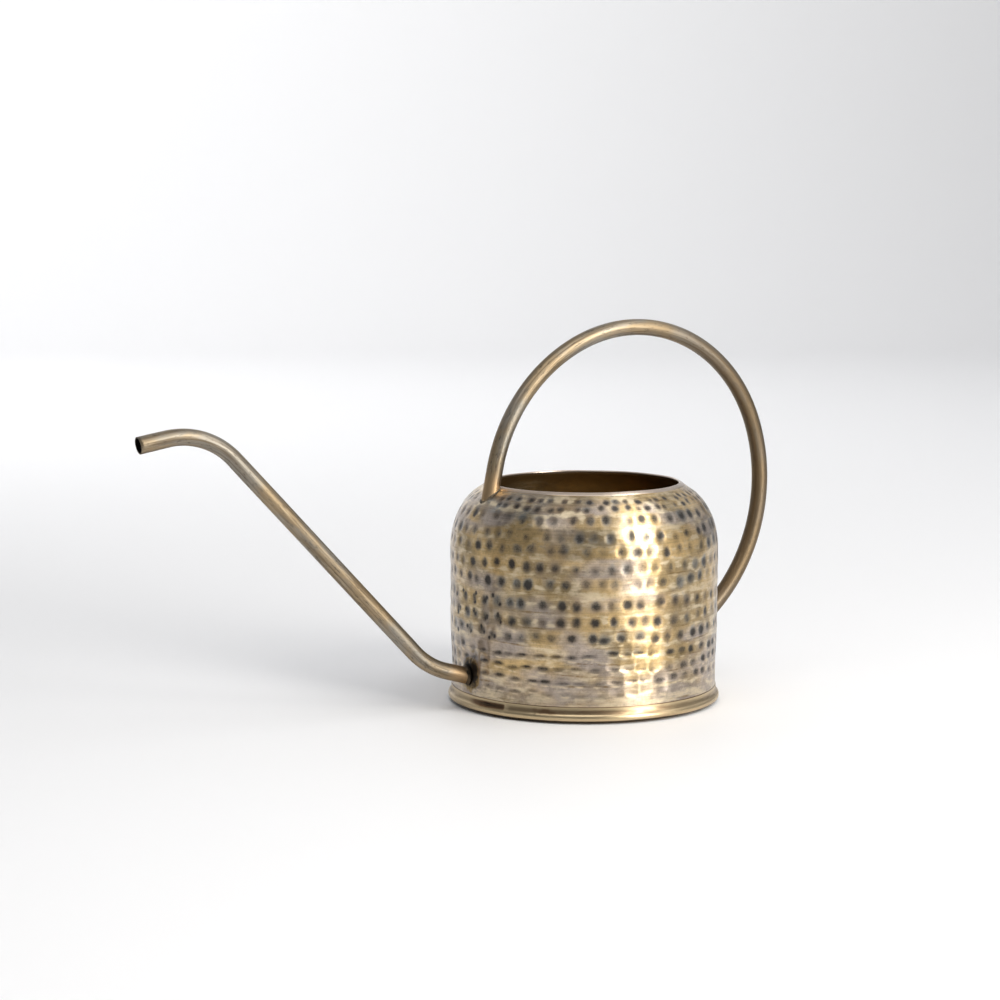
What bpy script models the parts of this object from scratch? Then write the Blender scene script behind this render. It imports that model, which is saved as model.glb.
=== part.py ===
"""A hammered brass watering can for house plants, made of its separate pieces.

Run it with blender --background --python part.py, or from the text editor. Metres, +Z up. The origin is
the centre of the flat underside, on the body's axis. The spout points along -X, the handle's back is on +X.
"""

import math

import bmesh
import bpy
from mathutils import Vector

OBJECT_NAME = "watering_can"
FRAME_NAME = "watering_can_frame"  # the empty that carries every piece

GAP = 0.0003  # left between pieces that are brazed or soldered together
TURN_STEPS = 48  # sides of a turned piece
ARC_ERROR = 0.0001  # the most that a chord leaves its arc
SHARP_ANGLE = math.radians(35)

# Body: one spun sheet, open at the bottom, turned in at the shoulder and hemmed at the mouth
SHEET = 0.0008
WALL_RADIUS = 0.0687
WALL_FOOT = 0.0010  # height of the wall's lower edge
WALL_TOP = 0.0796  # where the shoulder begins
SHOULDER_BENDS = (("bend", 0.0394, 32), ("bend", 0.0267, 28))
MOUTH_RUN = 0.0052  # straight cone between the shoulder and the mouth's edge
HEM_WIDTH = 0.0024
HEM_PROUD = 0.0003

# Foot: a flanged plate inside the wall and a moulded band outside it
FLANGE_HEIGHT = 0.0030
PLATE_CORNER = 0.0015
FOOT_RADIUS = 0.0700
FOOT_TOP = 0.0085
BEAD_RADIUS = 0.0029
BEAD_HEIGHT = 0.0029
COVE_RADIUS = 0.0694
BAND_LIP = 0.0003
SOLDER_LEG = 0.0022

# Tubes: spout and handle are cut from the same stock
TUBE_RADIUS = 0.00425
TUBE_WALL = 0.0008
SPOUT_ROOT = (-0.0665, 0.0170)  # inner end of the spout in the plane of X and Z
SPOUT_HEADING = 164
SPOUT_MOVES = (
    ("run", 0.0133),
    ("bend", 0.0395, -31),
    ("run", 0.1389),
    ("bend", 0.0375, 57),
    ("run", 0.0143),
)
HANDLE_ROOT = (-0.0556, 0.1021)
HANDLE_HEADING = 78.5
HANDLE_MOVES = (
    ("run", 0.0200),
    ("bend", 0.0865, -55),
    ("bend", 0.0770, -91),
    ("bend", 0.0910, -84),
)
SPOUT_BRAZE = (0.0022, 0.0014)  # how far the braze spreads from the tube, and up from the wall
HANDLE_BRAZE = (0.0012, 0.0010)

BRASS_HAMMERED = ("hammered_brass", (0.46, 0.34, 0.19), 0.34)
BRASS_SMOOTH = ("smooth_brass", (0.42, 0.29, 0.14), 0.22)
BRASS_TUBE = ("tube_brass", (0.40, 0.30, 0.19), 0.28)
BRAZE = ("braze", (0.10, 0.075, 0.045), 0.50)
SOLDER = ("solder", (0.42, 0.41, 0.39), 0.40)


def clear_scene():
    for old in list(bpy.data.objects):
        bpy.data.objects.remove(old, do_unlink=True)


def new_collection(name):
    collection = bpy.data.collections.new(name)
    bpy.context.scene.collection.children.link(collection)
    return collection


def metal(finish, node):
    """A metal for one piece: the finish gives its colour and roughness."""
    kind, colour, roughness = finish
    material = bpy.data.materials.new(f"{node}_{kind}")
    material.use_nodes = True
    shader = material.node_tree.nodes["Principled BSDF"]
    shader.inputs["Base Color"].default_value = (*colour, 1)
    shader.inputs["Roughness"].default_value = roughness
    shader.inputs["Metallic"].default_value = 1
    return material


# Flat paths: lists of (across, up) points


def arc(centre, radius, start, end):
    """Points from angle start to angle end, in radians, both included."""
    chord_angle = 2 * math.acos(1 - ARC_ERROR / radius)
    steps = max(2, math.ceil(abs(end - start) / chord_angle))
    angles = [start + (end - start) * i / steps for i in range(steps + 1)]
    return [(centre[0] + radius * math.cos(a), centre[1] + radius * math.sin(a)) for a in angles]


def bent_path(start, heading, moves):
    """A path as a tube bender makes it: runs of a length, and bends of a radius and degrees to the left."""
    points = [start]
    heading = math.radians(heading)
    for move in moves:
        across, up = points[-1]
        if move[0] == "run":
            points.append((across + move[1] * math.cos(heading), up + move[1] * math.sin(heading)))
            continue
        radius, turn = move[1], math.radians(move[2])
        side = math.copysign(math.pi / 2, turn)
        centre = (across + radius * math.cos(heading + side), up + radius * math.sin(heading + side))
        points += arc(centre, radius, heading - side, heading - side + turn)[1:]
        heading += turn
    return points


def offset(points, distance):
    """The path moved to its left by a distance, with mitred corners."""
    moved = []
    for i, point in enumerate(points):
        before = Vector(point) - Vector(points[i - 1]) if i else None
        after = Vector(points[i + 1]) - Vector(point) if i + 1 < len(points) else None
        normals = [Vector((-step.y, step.x)).normalized() for step in (before, after) if step]
        mitre = sum(normals, Vector((0, 0))).normalized()
        moved.append(tuple(Vector(point) + mitre * (distance / mitre.dot(normals[0]))))
    return moved


# Objects


def profile_object(name, points, closed, collection):
    """An object of edges only, in the plane of X and Z."""
    mesh = bpy.data.meshes.new(name)
    edges = [(i, i + 1) for i in range(len(points) - 1)]
    if closed:
        edges.append((len(points) - 1, 0))
    mesh.from_pydata([(across, 0, up) for across, up in points], edges, [])
    obj = bpy.data.objects.new(name, mesh)
    collection.objects.link(obj)
    return obj


def turned(name, points, collection, closed=False):
    """A solid of revolution about Z. Its profile runs down the outer side, from top to bottom."""
    obj = profile_object(name, points, closed, collection)
    screw = obj.modifiers.new("turn", "SCREW")
    screw.steps = TURN_STEPS
    screw.render_steps = TURN_STEPS
    screw.use_merge_vertices = True
    screw.merge_threshold = 0.00001
    return obj


def pipe(name, path, radius, collection, filled=True):
    """A round bar along a path in the plane of X and Z, or its open skin."""
    curve = bpy.data.curves.new(name, "CURVE")
    curve.dimensions = "3D"
    curve.bevel_depth = radius
    curve.bevel_resolution = 4
    curve.use_fill_caps = filled
    spline = curve.splines.new("POLY")
    spline.points.add(len(path) - 1)
    for point, (across, up) in zip(spline.points, path):
        point.co = (across, 0, up, 1)
    bar = bpy.data.objects.new(name, curve)
    collection.objects.link(bar)
    bpy.context.view_layer.update()
    mesh = bpy.data.meshes.new_from_object(bar.evaluated_get(bpy.context.evaluated_depsgraph_get()))
    bpy.data.objects.remove(bar, do_unlink=True)
    bpy.data.curves.remove(curve)
    skin = bmesh.new()
    skin.from_mesh(mesh)
    bmesh.ops.remove_doubles(skin, verts=skin.verts, dist=0.00001)
    bmesh.ops.recalc_face_normals(skin, faces=skin.faces)
    skin.to_mesh(mesh)
    skin.free()
    mesh.name = name
    obj = bpy.data.objects.new(name, mesh)
    collection.objects.link(obj)
    return obj


def as_cutter(obj):
    obj.hide_render = True
    obj.display_type = "WIRE"
    return obj


def cut(obj, operation, other):
    boolean = obj.modifiers.new(operation.lower(), "BOOLEAN")
    boolean.operation = operation
    boolean.solver = "EXACT"
    boolean.object = other


def finish(obj, look):
    """Applies the modifiers, shades the round faces smooth, adds the piece's own metal and parents it."""
    bpy.context.view_layer.update()
    mesh = bpy.data.meshes.new_from_object(obj.evaluated_get(bpy.context.evaluated_depsgraph_get()))
    obj.modifiers.clear()
    obj.data = mesh
    mesh.name = obj.name
    mesh.shade_smooth()
    mesh.set_sharp_from_angle(angle=SHARP_ANGLE)
    mesh.materials.clear()
    mesh.materials.append(metal(look, obj.name))
    obj.parent = bpy.data.objects[FRAME_NAME]
    return obj


# The body's shape, which the tubes are cut to fit


def sheet_path():
    """The sheet's outer face before it is hemmed, from the wall's lower edge up to the mouth."""
    wall = ("run", WALL_TOP - WALL_FOOT)
    mouth = (("run", MOUTH_RUN - HEM_WIDTH), ("run", HEM_WIDTH))
    return bent_path((WALL_RADIUS, WALL_FOOT), 90, (wall, *SHOULDER_BENDS, *mouth))


def outer_path():
    """The body's outer face: wall, shoulder, and a hem that stands a little proud."""
    sheet = sheet_path()
    return sheet[:-1] + offset(sheet[-2:], -HEM_PROUD)


def body_envelope(name, grow, collection):
    """The space the body takes up, filled in, and larger all round by grow."""
    outer = offset(outer_path(), -grow)
    top, bottom = outer[-1][1], outer[0][1]
    return as_cutter(turned(name, [(0, top), *reversed(outer), (0, bottom)], collection))


def body_shell(parts, spout_hole):
    outer = outer_path()
    inner = offset(sheet_path(), SHEET)
    middle = (Vector(outer[-1]) + Vector(inner[-1])) / 2
    edge = Vector(outer[-1]) - middle
    start = math.atan2(edge.y, edge.x)
    rounded = arc(middle, edge.length, start, start + math.pi)
    loop = outer[:-1] + rounded + inner[-2::-1]
    shell = turned("body_shell", loop[::-1], parts, closed=True)
    cut(shell, "DIFFERENCE", spout_hole)
    return finish(shell, BRASS_HAMMERED)


def base_plate(parts):
    """A disc with its rim turned up inside the wall. Its flat underside is what the can stands on."""
    radius = WALL_RADIUS - SHEET - GAP
    moves = (
        ("run", radius - PLATE_CORNER),
        ("bend", PLATE_CORNER, 90),
        ("run", FLANGE_HEIGHT - PLATE_CORNER),
    )
    outer = bent_path((0, 0), 0, moves)
    inner = offset(outer, SHEET)
    return finish(turned("base_plate", inner + outer[::-1], parts), BRASS_SMOOTH)


def foot_band(parts):
    """A moulded strip round the wall's lower edge: a lip, a hollow and a wide rounded bead."""
    inside = WALL_RADIUS + GAP
    lip = arc((COVE_RADIUS, FOOT_TOP - BAND_LIP), BAND_LIP, math.pi / 2, 0)
    bead_centre = (FOOT_RADIUS - BEAD_RADIUS, BEAD_HEIGHT)
    bead_edge = math.acos((COVE_RADIUS - bead_centre[0]) / BEAD_RADIUS)
    bead = arc(bead_centre, BEAD_RADIUS, bead_edge, 0) + arc(bead_centre, BEAD_RADIUS, 0, -bead_edge)[1:]
    cove_high = (COVE_RADIUS, FOOT_TOP - 3 * BAND_LIP)
    bottom = (inside, bead[-1][1])
    loop = [(inside, FOOT_TOP), *lip, cove_high, *bead, bottom]
    return finish(turned("foot_band", loop, parts, closed=True), BRASS_SMOOTH)


def base_solder(parts):
    """A fillet of soft solder inside the can, over the seam between the plate's rim and the wall."""
    radius = WALL_RADIUS - SHEET - GAP
    low = FLANGE_HEIGHT + GAP
    loop = [(radius, low + SOLDER_LEG), (radius, low), (radius - SHEET, low)]
    return finish(turned("base_solder_seam", loop, parts, closed=True), SOLDER)


def open_tube(name, path, parts):
    """A length of the tube stock, bent along a path and open at both ends."""
    tube = pipe(name, path, TUBE_RADIUS, parts, filled=False)
    wall = tube.modifiers.new("wall", "SOLIDIFY")
    wall.thickness = TUBE_WALL
    wall.offset = -1
    wall.use_even_offset = True
    return tube


def braze(name, path, size, tube_space, body_space, parts, cutters):
    """A collar of braze where a tube meets the body: it hugs the tube and follows the body's face."""
    spread, rise = size
    ring = pipe(name, path, TUBE_RADIUS + spread, parts)
    cut(ring, "INTERSECT", body_envelope(f"{name}_reach", rise, cutters))
    cut(ring, "DIFFERENCE", body_space)
    cut(ring, "DIFFERENCE", tube_space)
    return finish(ring, BRAZE)


def main():
    clear_scene()
    parts = new_collection(OBJECT_NAME)
    cutters = new_collection("cutters")
    parts.objects.link(bpy.data.objects.new(FRAME_NAME, None))

    spout_path = bent_path(SPOUT_ROOT, SPOUT_HEADING, SPOUT_MOVES)
    handle_path = bent_path(HANDLE_ROOT, HANDLE_HEADING, HANDLE_MOVES)
    body_space = body_envelope("body_space", GAP, cutters)
    spout_space = as_cutter(pipe("spout_space", spout_path, TUBE_RADIUS + GAP, cutters))
    handle_space = as_cutter(pipe("handle_space", handle_path, TUBE_RADIUS + GAP, cutters))

    body_shell(parts, spout_space)
    base_plate(parts)
    foot_band(parts)
    base_solder(parts)

    finish(open_tube("spout_tube", spout_path, parts), BRASS_TUBE)
    handle = open_tube("handle_tube", handle_path, parts)
    cut(handle, "DIFFERENCE", body_space)
    finish(handle, BRASS_TUBE)

    spout_end, front_end, rear_end = spout_path[:3], handle_path[:2], handle_path[-4:]
    braze("spout_braze", spout_end, SPOUT_BRAZE, spout_space, body_space, parts, cutters)
    braze("handle_front_braze", front_end, HANDLE_BRAZE, handle_space, body_space, parts, cutters)
    braze("handle_rear_braze", rear_end, HANDLE_BRAZE, handle_space, body_space, parts, cutters)


main()
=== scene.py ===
"""The looks of the hammered brass watering can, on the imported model's frame. Metres, +Z up.

Each piece of the CAD model is made again here with a fine surface: a hammered body, a moulded foot, drawn
tubes and lumpy brazes. Dents and wear only take material away, so no piece outgrows its CAD part.
"""

import math

import bmesh
import bpy
import numpy as np
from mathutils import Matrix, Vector


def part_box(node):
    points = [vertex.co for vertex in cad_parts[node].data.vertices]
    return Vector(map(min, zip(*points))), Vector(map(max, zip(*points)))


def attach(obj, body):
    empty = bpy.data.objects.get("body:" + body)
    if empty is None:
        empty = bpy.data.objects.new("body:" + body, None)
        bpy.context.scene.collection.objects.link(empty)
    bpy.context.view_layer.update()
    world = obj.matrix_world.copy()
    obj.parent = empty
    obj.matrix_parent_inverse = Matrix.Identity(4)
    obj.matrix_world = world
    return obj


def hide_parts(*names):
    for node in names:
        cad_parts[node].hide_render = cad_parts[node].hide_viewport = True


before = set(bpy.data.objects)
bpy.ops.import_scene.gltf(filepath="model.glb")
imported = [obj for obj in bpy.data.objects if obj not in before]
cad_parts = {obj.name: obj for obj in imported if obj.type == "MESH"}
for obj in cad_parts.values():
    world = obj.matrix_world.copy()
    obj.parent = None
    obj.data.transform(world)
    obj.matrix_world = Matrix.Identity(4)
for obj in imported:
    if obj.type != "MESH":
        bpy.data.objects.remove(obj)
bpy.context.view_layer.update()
MM = 0.001

# Sizes read from the frame
BODY_LOW, BODY_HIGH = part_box("body_shell")
BAND_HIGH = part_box("foot_band")[1]
PLATE_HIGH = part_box("base_plate")[1]
SOLDER_LOW, SOLDER_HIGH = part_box("base_solder_seam")
TUBE_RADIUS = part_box("handle_tube")[1].y
WALL_RADIUS = BODY_HIGH.x
WALL_FOOT = BODY_LOW.z
FOOT_RADIUS = BAND_HIGH.x
FOOT_TOP = BAND_HIGH.z

# The bends of sheet and tube, the same as in the CAD source
SHEET = 0.8 * MM
WALL_TOP = 79.6 * MM
SHOULDER_MOVES = (("bend", 39.4 * MM, 32), ("bend", 26.7 * MM, 28), ("run", 5.2 * MM))
HEM_WIDTH = 2.4 * MM
HEM_PROUD = 0.3 * MM
TUBE_WALL = 0.8 * MM
SPOUT_ROOT = (-66.5 * MM, 17.0 * MM)
SPOUT_HEADING = 164
SPOUT_MOVES = (
    ("run", 13.3 * MM),
    ("bend", 39.5 * MM, -31),
    ("run", 138.9 * MM),
    ("bend", 37.5 * MM, 57),
    ("run", 14.3 * MM),
)
HANDLE_ROOT = (-55.6 * MM, 102.1 * MM)
HANDLE_HEADING = 78.5
HANDLE_MOVES = (
    ("run", 20.0 * MM),
    ("bend", 86.5 * MM, -55),
    ("bend", 77.0 * MM, -91),
    ("bend", 91.0 * MM, -84),
)

# The camera, and the directions that lights and marks are measured from
CAMERA_PLACE = Vector((-0.65295, -1.13094, 0.26636))
CAMERA_HEADING = math.radians(61.89)
CAMERA_DIP = 0.1249
CAMERA_LENS = 92.5
FACING = CAMERA_HEADING + math.pi  # azimuth of the side of the can that faces the camera

# The body's wall draws in at the foot, over a range of heights
NECK = 0.9 * MM
NECK_HEIGHTS = (14 * MM, 46 * MM)

# Hammering: each row of blows goes once round, at a height along the sheet. Lengths in mm
ROW_HEIGHTS = (15.0, 20.8, 27.0, 33.8, 42.2, 50.6, 58.8, 68.9, 76.8, 85.3, 92.4, 101.0, 108.0, 112.5)
BAND_LIMITS = (10.0, 117.0)  # the foot of the lowest band of blows and the top of the highest
BLOW_PITCH = 8.7
BLOW_WIDTH = (2.8, 3.7)  # half the width
BLOW_UP = (3.3, 4.2)
BLOW_DOWN = (3.3, 4.0)
BLOW_DEPTH = (0.20, 0.38)
BLOW_DARK = (0.46, 1.0)  # how sooty the floor of a blow is, 0 to 1
HALO = 1.25  # how far the patina reaches round a blow, in blows
FAINT_BELOW, FAINT = 16, 0.35  # the blows next to the foot are weaker

# Rows above a height are set closer, with blows smaller by these factors: width, up, down, depth
TOP_ROWS = 105.0
TOP_PITCH = 6.2
TOP_FACTORS = (0.72, 0.68, 0.68, 0.8)

# Below a height the blows are scallops that run together, most of all left of the camera's side
SCALLOP_TOP = 46.0
SCALLOP_TURN = 0.25
SCALLOP_WIDER, SCALLOP_TALLER, SCALLOP_SHORTER, SCALLOP_DEEPER = 1.3, 2.2, 2.3, 0.32

# Small second blows in these rows, on the left
PECK_ROWS = (40, 62)
PECK_TURN, PECK_LIMIT = 0.95, 0.95
PECKS_EACH = 2
PECK_WIDTH, PECK_REACH, PECK_DEPTH = (1.1, 1.7), 1.6, (0.2, 0.34)

# Unhammered places: round the tubes' joints, by the foot and by the hem
CALM_JOINT = (5.5 * MM, 10 * MM)
CALM_FOOT = (7 * MM, 11 * MM)
CALM_HEM = (0.3 * MM, 3 * MM)
SKIN = 0.02 * MM  # how far the whole surface lies inside the CAD's
TROUGH, SWELL = 0.20, 0.10  # mm: how deep each row's band and the slow waves are

# Stains and painted marks with their own place: mm up the body, and degrees right of the camera's side, or
# left for the smear
# GREY_SIDES: a painted reflection of the pale room on the sides, greying them
GREY_SIDES = (48, 82)
GREY_FOOT = (18, 46)
# An olive patch, darker than the gold, right of the camera's side, low on the body
OLIVE_PATCH_CENTRE, OLIVE_PATCH_WIDTH = 47, 16
OLIVE_PATCH_START, OLIVE_PATCH_END = (15, 30), (50, 80)
SMEAR_START = (97, 104)
SMEAR_RIGHT, SMEAR_LEFT = (-15, 5), (60, 80)

# Marks of heat: how far across and up from a joint, and the distances that they fade over
BURN_SHIFT, BURN_FADE = (4.0 * MM, 1.5 * MM), (3 * MM, 12 * MM)
TINT_SHIFT, TINT_SIZE, TINT_STRENGTH = (8, 10), (4, 6), 0.48  # in mm
HANDLE_BURN, HANDLE_FADE = 0.42, (4 * MM, 9 * MM)

# The painted pool of light inside the mouth, as an angle from the far side and half an angle across
LIGHT_POOL_TURN, LIGHT_POOL_WIDTH = 0.55, 0.22

# The hem: how much of its width the start of its bulge takes, and the steps round its edge
HEM_ROUNDING, HEM_TURNS = 0.22, 8
HEM_INSET = 0.06 * MM

# The foot band: its rounded top edge, and the bead at its bottom, whose face turns from an angle in degrees
EDGE_RADIUS, EDGE_INSET = 0.15 * MM, 0.55 * MM
BEAD_DEEP, BEAD_TALL, BEAD_HEIGHT = 1.5 * MM, 2.0 * MM, 2.95 * MM
BEAD_FROM, BEAD_TURN, BEAD_STEPS, FLARE_STEPS = 56, 126, 14, 18

# The lap where the foot band's ends meet, and the painted shade before it (a reflection of the can's shadow
# on the floor), as angles from the lap
LAP_ANGLE = math.radians(-154)
LAP_WIDTH = math.radians(7)
LAP_STEP, LAP_NICK = 0.12 * MM, 0.25 * MM
LAP_SHADE_START, LAP_SHADE_END = (math.radians(-24), math.radians(-14)), (-0.03, 0.0)

# Heights on the foot band that patina and painted shade fade over: the hollow, a painted shade line at the
# top edge and a painted black shadow under the bead
HOLLOW_START, HOLLOW_END = (3.7 * MM, 5.4 * MM), (6.3 * MM, 7.9 * MM)
EDGE_LINE = (8.1 * MM, 8.3 * MM)
UNDERSIDE = (1.4 * MM, 2.1 * MM)

# Tubes
TUBE_SKINS = (TUBE_RADIUS - 0.05 * MM, TUBE_RADIUS - TUBE_WALL)
SPOUT_STEP, HANDLE_STEP = 1.6 * MM, 2.2 * MM
BEND_EASE = 12 * MM
FLATTENING = 0.0012  # metres, times the bend's curvature

# Mesh counts
COLUMNS = 576
LOWER_ROWS = 70
UPPER_ROWS = 64
INNER_ROWS = 40
BAND_STEPS = 720
DISC_STEPS = 240
TUBE_SIDES = 40
FILLET_TURNS = 96
FILLET_STEPS = 9


# Flat paths


def arc_points(centre, radius, start, end, step):
    """Points from angle start to angle end, in radians, both included, a step apart."""
    count = max(2, math.ceil(abs(end - start) * radius / step))
    angles = [start + (end - start) * i / count for i in range(count + 1)]
    return [(centre[0] + radius * math.cos(a), centre[1] + radius * math.sin(a), a) for a in angles]


def bent_path(start, heading, moves, step):
    """A path of runs and bends to the left, in degrees: rows of across, up, heading, bend (1 / radius)."""
    rows = []
    across, up = start
    heading = math.radians(heading)
    for move in moves:
        if move[0] == "run":
            count = max(1, math.ceil(move[1] / step))
            for i in range(count + 1):
                along = move[1] * i / count
                rows.append((across + along * math.cos(heading), up + along * math.sin(heading), heading, 0))
        else:
            radius, turn = move[1], math.radians(move[2])
            side = math.copysign(math.pi / 2, turn)
            centre = (across + radius * math.cos(heading + side), up + radius * math.sin(heading + side))
            for x, z, a in arc_points(centre, radius, heading - side, heading - side + turn, step):
                rows.append((x, z, a + side, math.copysign(1 / radius, turn)))
            heading += turn
        across, up = rows[-1][:2]
    path = np.array(rows)
    apart = np.hypot(*np.diff(path[:, :2], axis=0).T) > step * 0.01
    return path[np.concatenate(([True], apart))]


def lengths(path):
    """Distance along a path at each of its points."""
    return np.concatenate(([0], np.cumsum(np.hypot(*np.diff(path[:, :2], axis=0).T))))


WALL_RUN = ("run", WALL_TOP - WALL_FOOT)
SHEET_PATH = bent_path((WALL_RADIUS, WALL_FOOT), 90, (WALL_RUN, *SHOULDER_MOVES), 0.25 * MM)
SHEET_LENGTHS = WALL_FOOT + lengths(SHEET_PATH)  # measured from the table, so that it is z on the wall
SHEET_END = SHEET_LENGTHS[-1]


def on_sheet(along):
    """Radius, height and outward normal (across, up) of the sheet's outer face at a length along it."""
    radius, height, heading = (np.interp(along, SHEET_LENGTHS, SHEET_PATH[:, i]) for i in range(3))
    return radius, height, np.sin(heading), -np.cos(heading)


def body_gap(point):
    """Distance of a point outside the plain outer face, the length along the sheet there, and the normal."""
    across = math.hypot(point.x, point.y)
    nearest = int(np.argmin(np.hypot(SHEET_PATH[:, 0] - across, SHEET_PATH[:, 1] - point.z)))
    radius, height, heading = SHEET_PATH[nearest, :3]
    out = (math.sin(heading), -math.cos(heading))
    gap = (across - radius) * out[0] + (point.z - height) * out[1]
    normal = Vector((out[0] * point.x / across, out[0] * point.y / across, out[1]))
    return gap, SHEET_LENGTHS[nearest], normal


def smooth_step(value, low, high):
    """0 below low, 1 above high and smooth between them."""
    t = np.clip((value - low) / (high - low), 0, 1)
    return t * t * (3 - 2 * t)


def full_turn(count):
    """Angles evenly round a circle."""
    return np.linspace(0, 2 * math.pi, count, endpoint=False)


def signed_turn(angle):
    """The angle brought to between -pi and pi."""
    return np.angle(np.exp(1j * angle))


def ripple(draw, angle, height, waves, around, up):
    """A smooth random field of about unit size, seamless round the body: a sum of sine waves.

    around is the range of waves in one turn, up the most waves in a metre of height.
    """
    total = np.zeros(np.broadcast(angle, height).shape)
    for _ in range(waves):
        turns = int(draw.integers(around[0], around[1] + 1)) * int(draw.choice((-1, 1)))
        rise = draw.uniform(-up, up) * 2 * math.pi
        total += np.sin(turns * angle + rise * height + draw.uniform(0, 2 * math.pi))
    return total / math.sqrt(waves / 2)


# Meshes


def new_object(name, data):
    obj = bpy.data.objects.new(name, data)
    bpy.context.scene.collection.objects.link(obj)
    return obj


def ring_mesh(name, rings, closed=True, capped=False):
    """A skin over closed rings of points. A ring may have half as many points as the one before it."""
    points = np.concatenate(rings)
    starts = np.cumsum([0] + [len(ring) for ring in rings])
    pairs = [(i, i + 1) for i in range(len(rings) - 1)]
    faces = []
    if closed:
        pairs.append((len(rings) - 1, 0))
    for first, second in pairs:
        if len(rings[first]) < len(rings[second]):
            first, second = second, first
        many, few = len(rings[first]), len(rings[second])
        a, b = starts[first], starts[second]
        if many == few:
            faces += [(a + i, a + (i + 1) % many, b + (i + 1) % many, b + i) for i in range(many)]
            continue
        for i in range(few):
            j = (i + 1) % few
            faces.append((a + 2 * i, a + 2 * i + 1, b + i))
            faces.append((a + 2 * i + 1, b + j, b + i))
            faces.append((a + 2 * i + 1, a + (2 * i + 2) % many, b + j))
    mesh = bpy.data.meshes.new(name)
    mesh.from_pydata(points.tolist(), [], [tuple(map(int, face)) for face in faces])
    skin = bmesh.new()
    skin.from_mesh(mesh)
    if capped:
        bmesh.ops.holes_fill(skin, edges=skin.edges, sides=0)
    bmesh.ops.recalc_face_normals(skin, faces=skin.faces)
    skin.to_mesh(mesh)
    skin.free()
    mesh.shade_smooth()
    return new_object(name, mesh)


def paint(obj, name, values):
    """Stores a number, or three, at each vertex, for the material to read."""
    values = np.asarray(values, dtype=np.float32)
    kind = "FLOAT" if values.ndim == 1 else "FLOAT_VECTOR"
    layer = obj.data.attributes.new(name, kind, "POINT")
    layer.data.foreach_set("value" if values.ndim == 1 else "vector", values.ravel())


def turned(name, profile, steps, wobble=None):
    """A closed profile turned about Z. wobble(angle, across, up) gives a change of radius."""
    angle = full_turn(steps)
    rings = []
    for across, up in profile:
        radius = across + (wobble(angle, across, up) if wobble else 0)
        points = (radius * np.cos(angle), radius * np.sin(angle), np.full(steps, up))
        rings.append(np.stack(points, axis=1))
    return ring_mesh(name, rings)


def place(obj, nodes, material):
    """Gives a piece its material, the CAD nodes it stands for and its body."""
    obj.data.materials.clear()
    obj.data.materials.append(material)
    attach(obj, "root")
    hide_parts(*nodes)
    return obj


# Material nodes


def new_metal(name):
    """A metal, its node tree and its shader."""
    material = bpy.data.materials.new(name)
    material.use_nodes = True
    tree = material.node_tree
    shader = tree.nodes["Principled BSDF"]
    shader.inputs["Metallic"].default_value = 1.0
    return material, tree, shader


def add(tree, kind, values=(), **settings):
    """A node with its settings, and its inputs linked or set by name or number."""
    made = tree.nodes.new("ShaderNode" + kind)
    for key, value in settings.items():
        setattr(made, key, value)
    for key, value in dict(values).items():
        if isinstance(value, bpy.types.NodeSocket):
            tree.links.new(value, made.inputs[key])
        else:
            made.inputs[key].default_value = value
    return made


def stored(tree, name):
    return add(tree, "Attribute", attribute_name=name).outputs


def noise(tree, vector, stretch, detail=3.0, roughness=0.55, distortion=0.0):
    """Noise with its own number of waves in a metre along each axis."""
    scaled = add(tree, "Mapping", {"Vector": vector, "Scale": stretch}).outputs["Vector"]
    values = {"Scale": 1.0, "Detail": detail, "Roughness": roughness, "Distortion": distortion}
    return add(tree, "TexNoise", {"Vector": scaled, **values}).outputs["Fac"]


def fade(tree, value, low, high, to_low=0.0, to_high=1.0):
    """A smooth change from to_low to to_high as a value goes from low to high."""
    values = {"Value": value, "From Min": low, "From Max": high, "To Min": to_low, "To Max": to_high}
    return add(tree, "MapRange", values, interpolation_type="SMOOTHSTEP").outputs["Result"]


def maths(tree, operation, a, b):
    return add(tree, "Math", {0: a, 1: b}, operation=operation).outputs[0]


def times(tree, a, b):
    return maths(tree, "MULTIPLY", a, b)


def mix(tree, factor, a, b, blend="MIX"):
    a, b = ((*value, 1) if isinstance(value, tuple) else value for value in (a, b))
    return add(tree, "Mix", {0: factor, 6: a, 7: b}, data_type="RGBA", blend_type=blend).outputs[2]


def shaded(tree, colour, level):
    """A colour made lighter or darker by a level."""
    grey = add(tree, "CombineColor", {0: level, 1: level, 2: level}).outputs[0]
    return mix(tree, 1.0, colour, grey, "MULTIPLY")


def link(tree, source, target):
    tree.links.new(source, target)


def surface(tree, shader, colour, rough, relief, strength, distance):
    """Joins a metal's colour, its roughness and a fine relief to its shader."""
    bump = add(tree, "Bump", {"Height": relief, "Strength": strength, "Distance": distance})
    link(tree, colour, shader.inputs["Base Color"])
    link(tree, rough, shader.inputs["Roughness"])
    link(tree, bump.outputs[0], shader.inputs["Normal"])


# Colours of the hammered sheet
GOLD = (0.58, 0.41, 0.195)
OLIVE = (0.40, 0.29, 0.145)
ROSE = (0.425, 0.37, 0.345)
SLATE = (0.235, 0.245, 0.24)
UMBER = (0.25, 0.185, 0.125)
SOOT = (0.052, 0.046, 0.041)
BROWN = (0.34, 0.22, 0.09)
TEA = (0.20, 0.125, 0.05)
# Burnt flux at the joints, and also the painted black shadow on the foot
BURNT_AND_SHADOW = (0.022, 0.017, 0.013)
HEAT_GOLD = (0.42, 0.27, 0.07)
HEAT_BLUE = (0.16, 0.17, 0.20)
# Rubbed wear between the dents, and a painted highlight under each dent
WEAR_AND_HIGHLIGHT = (0.80, 0.67, 0.46)
LIP = (0.55, 0.47, 0.42)

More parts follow.
